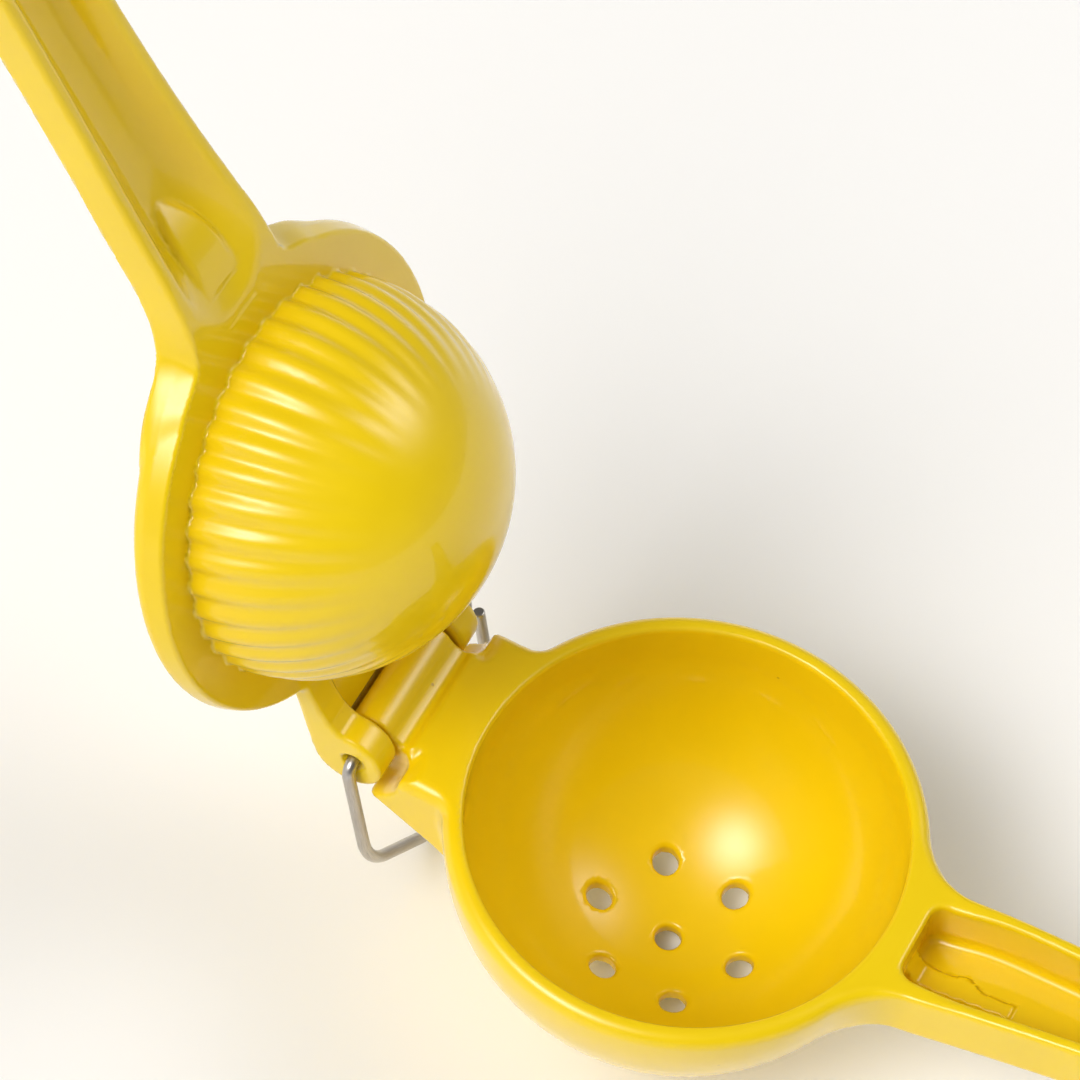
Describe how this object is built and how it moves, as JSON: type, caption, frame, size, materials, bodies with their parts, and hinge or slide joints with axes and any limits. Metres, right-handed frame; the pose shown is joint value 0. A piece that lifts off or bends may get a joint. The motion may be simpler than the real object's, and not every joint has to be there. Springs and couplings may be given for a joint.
{
  "type": "hinged lemon squeezer",
  "caption": "Hinged citrus squeezer: a bowl lever with drain holes, a ribbed plunger lever and a wire bail that pins the hinge and hangs the tool up.",
  "frame": {"origin": "centre of the bowl's mouth, on its flat rim", "axes": "+Z out of the bowl, +X along the lower handle, +Y along the hinge axis; stored open as pictured"},
  "size_m": [0.3071, 0.0764, 0.2362],
  "materials": {
    "enamel": "glossy yellow enamel over cast aluminium",
    "steel_wire": "satin stainless wire"
  },
  "bodies": {
    "bowl_arm": {"bowl_arm": "enamel"},
    "plunger_arm": {"plunger_arm": "enamel"},
    "wire_bail": {"wire_bail": "steel_wire"}
  },
  "joints": [
    {"name": "plunger_hinge", "type": "hinge", "parent": "bowl_arm", "child": "plunger_arm", "pos_m": [-0.0509, 0, -0.0012], "axis": [0, 1, 0], "range_deg": [0, 107.4]},
    {"name": "bail_hinge", "type": "hinge", "parent": "bowl_arm", "child": "wire_bail", "pos_m": [-0.0509, 0, -0.0012], "axis": [0, 1, 0], "range_deg": [-28, 140]}
  ]
}
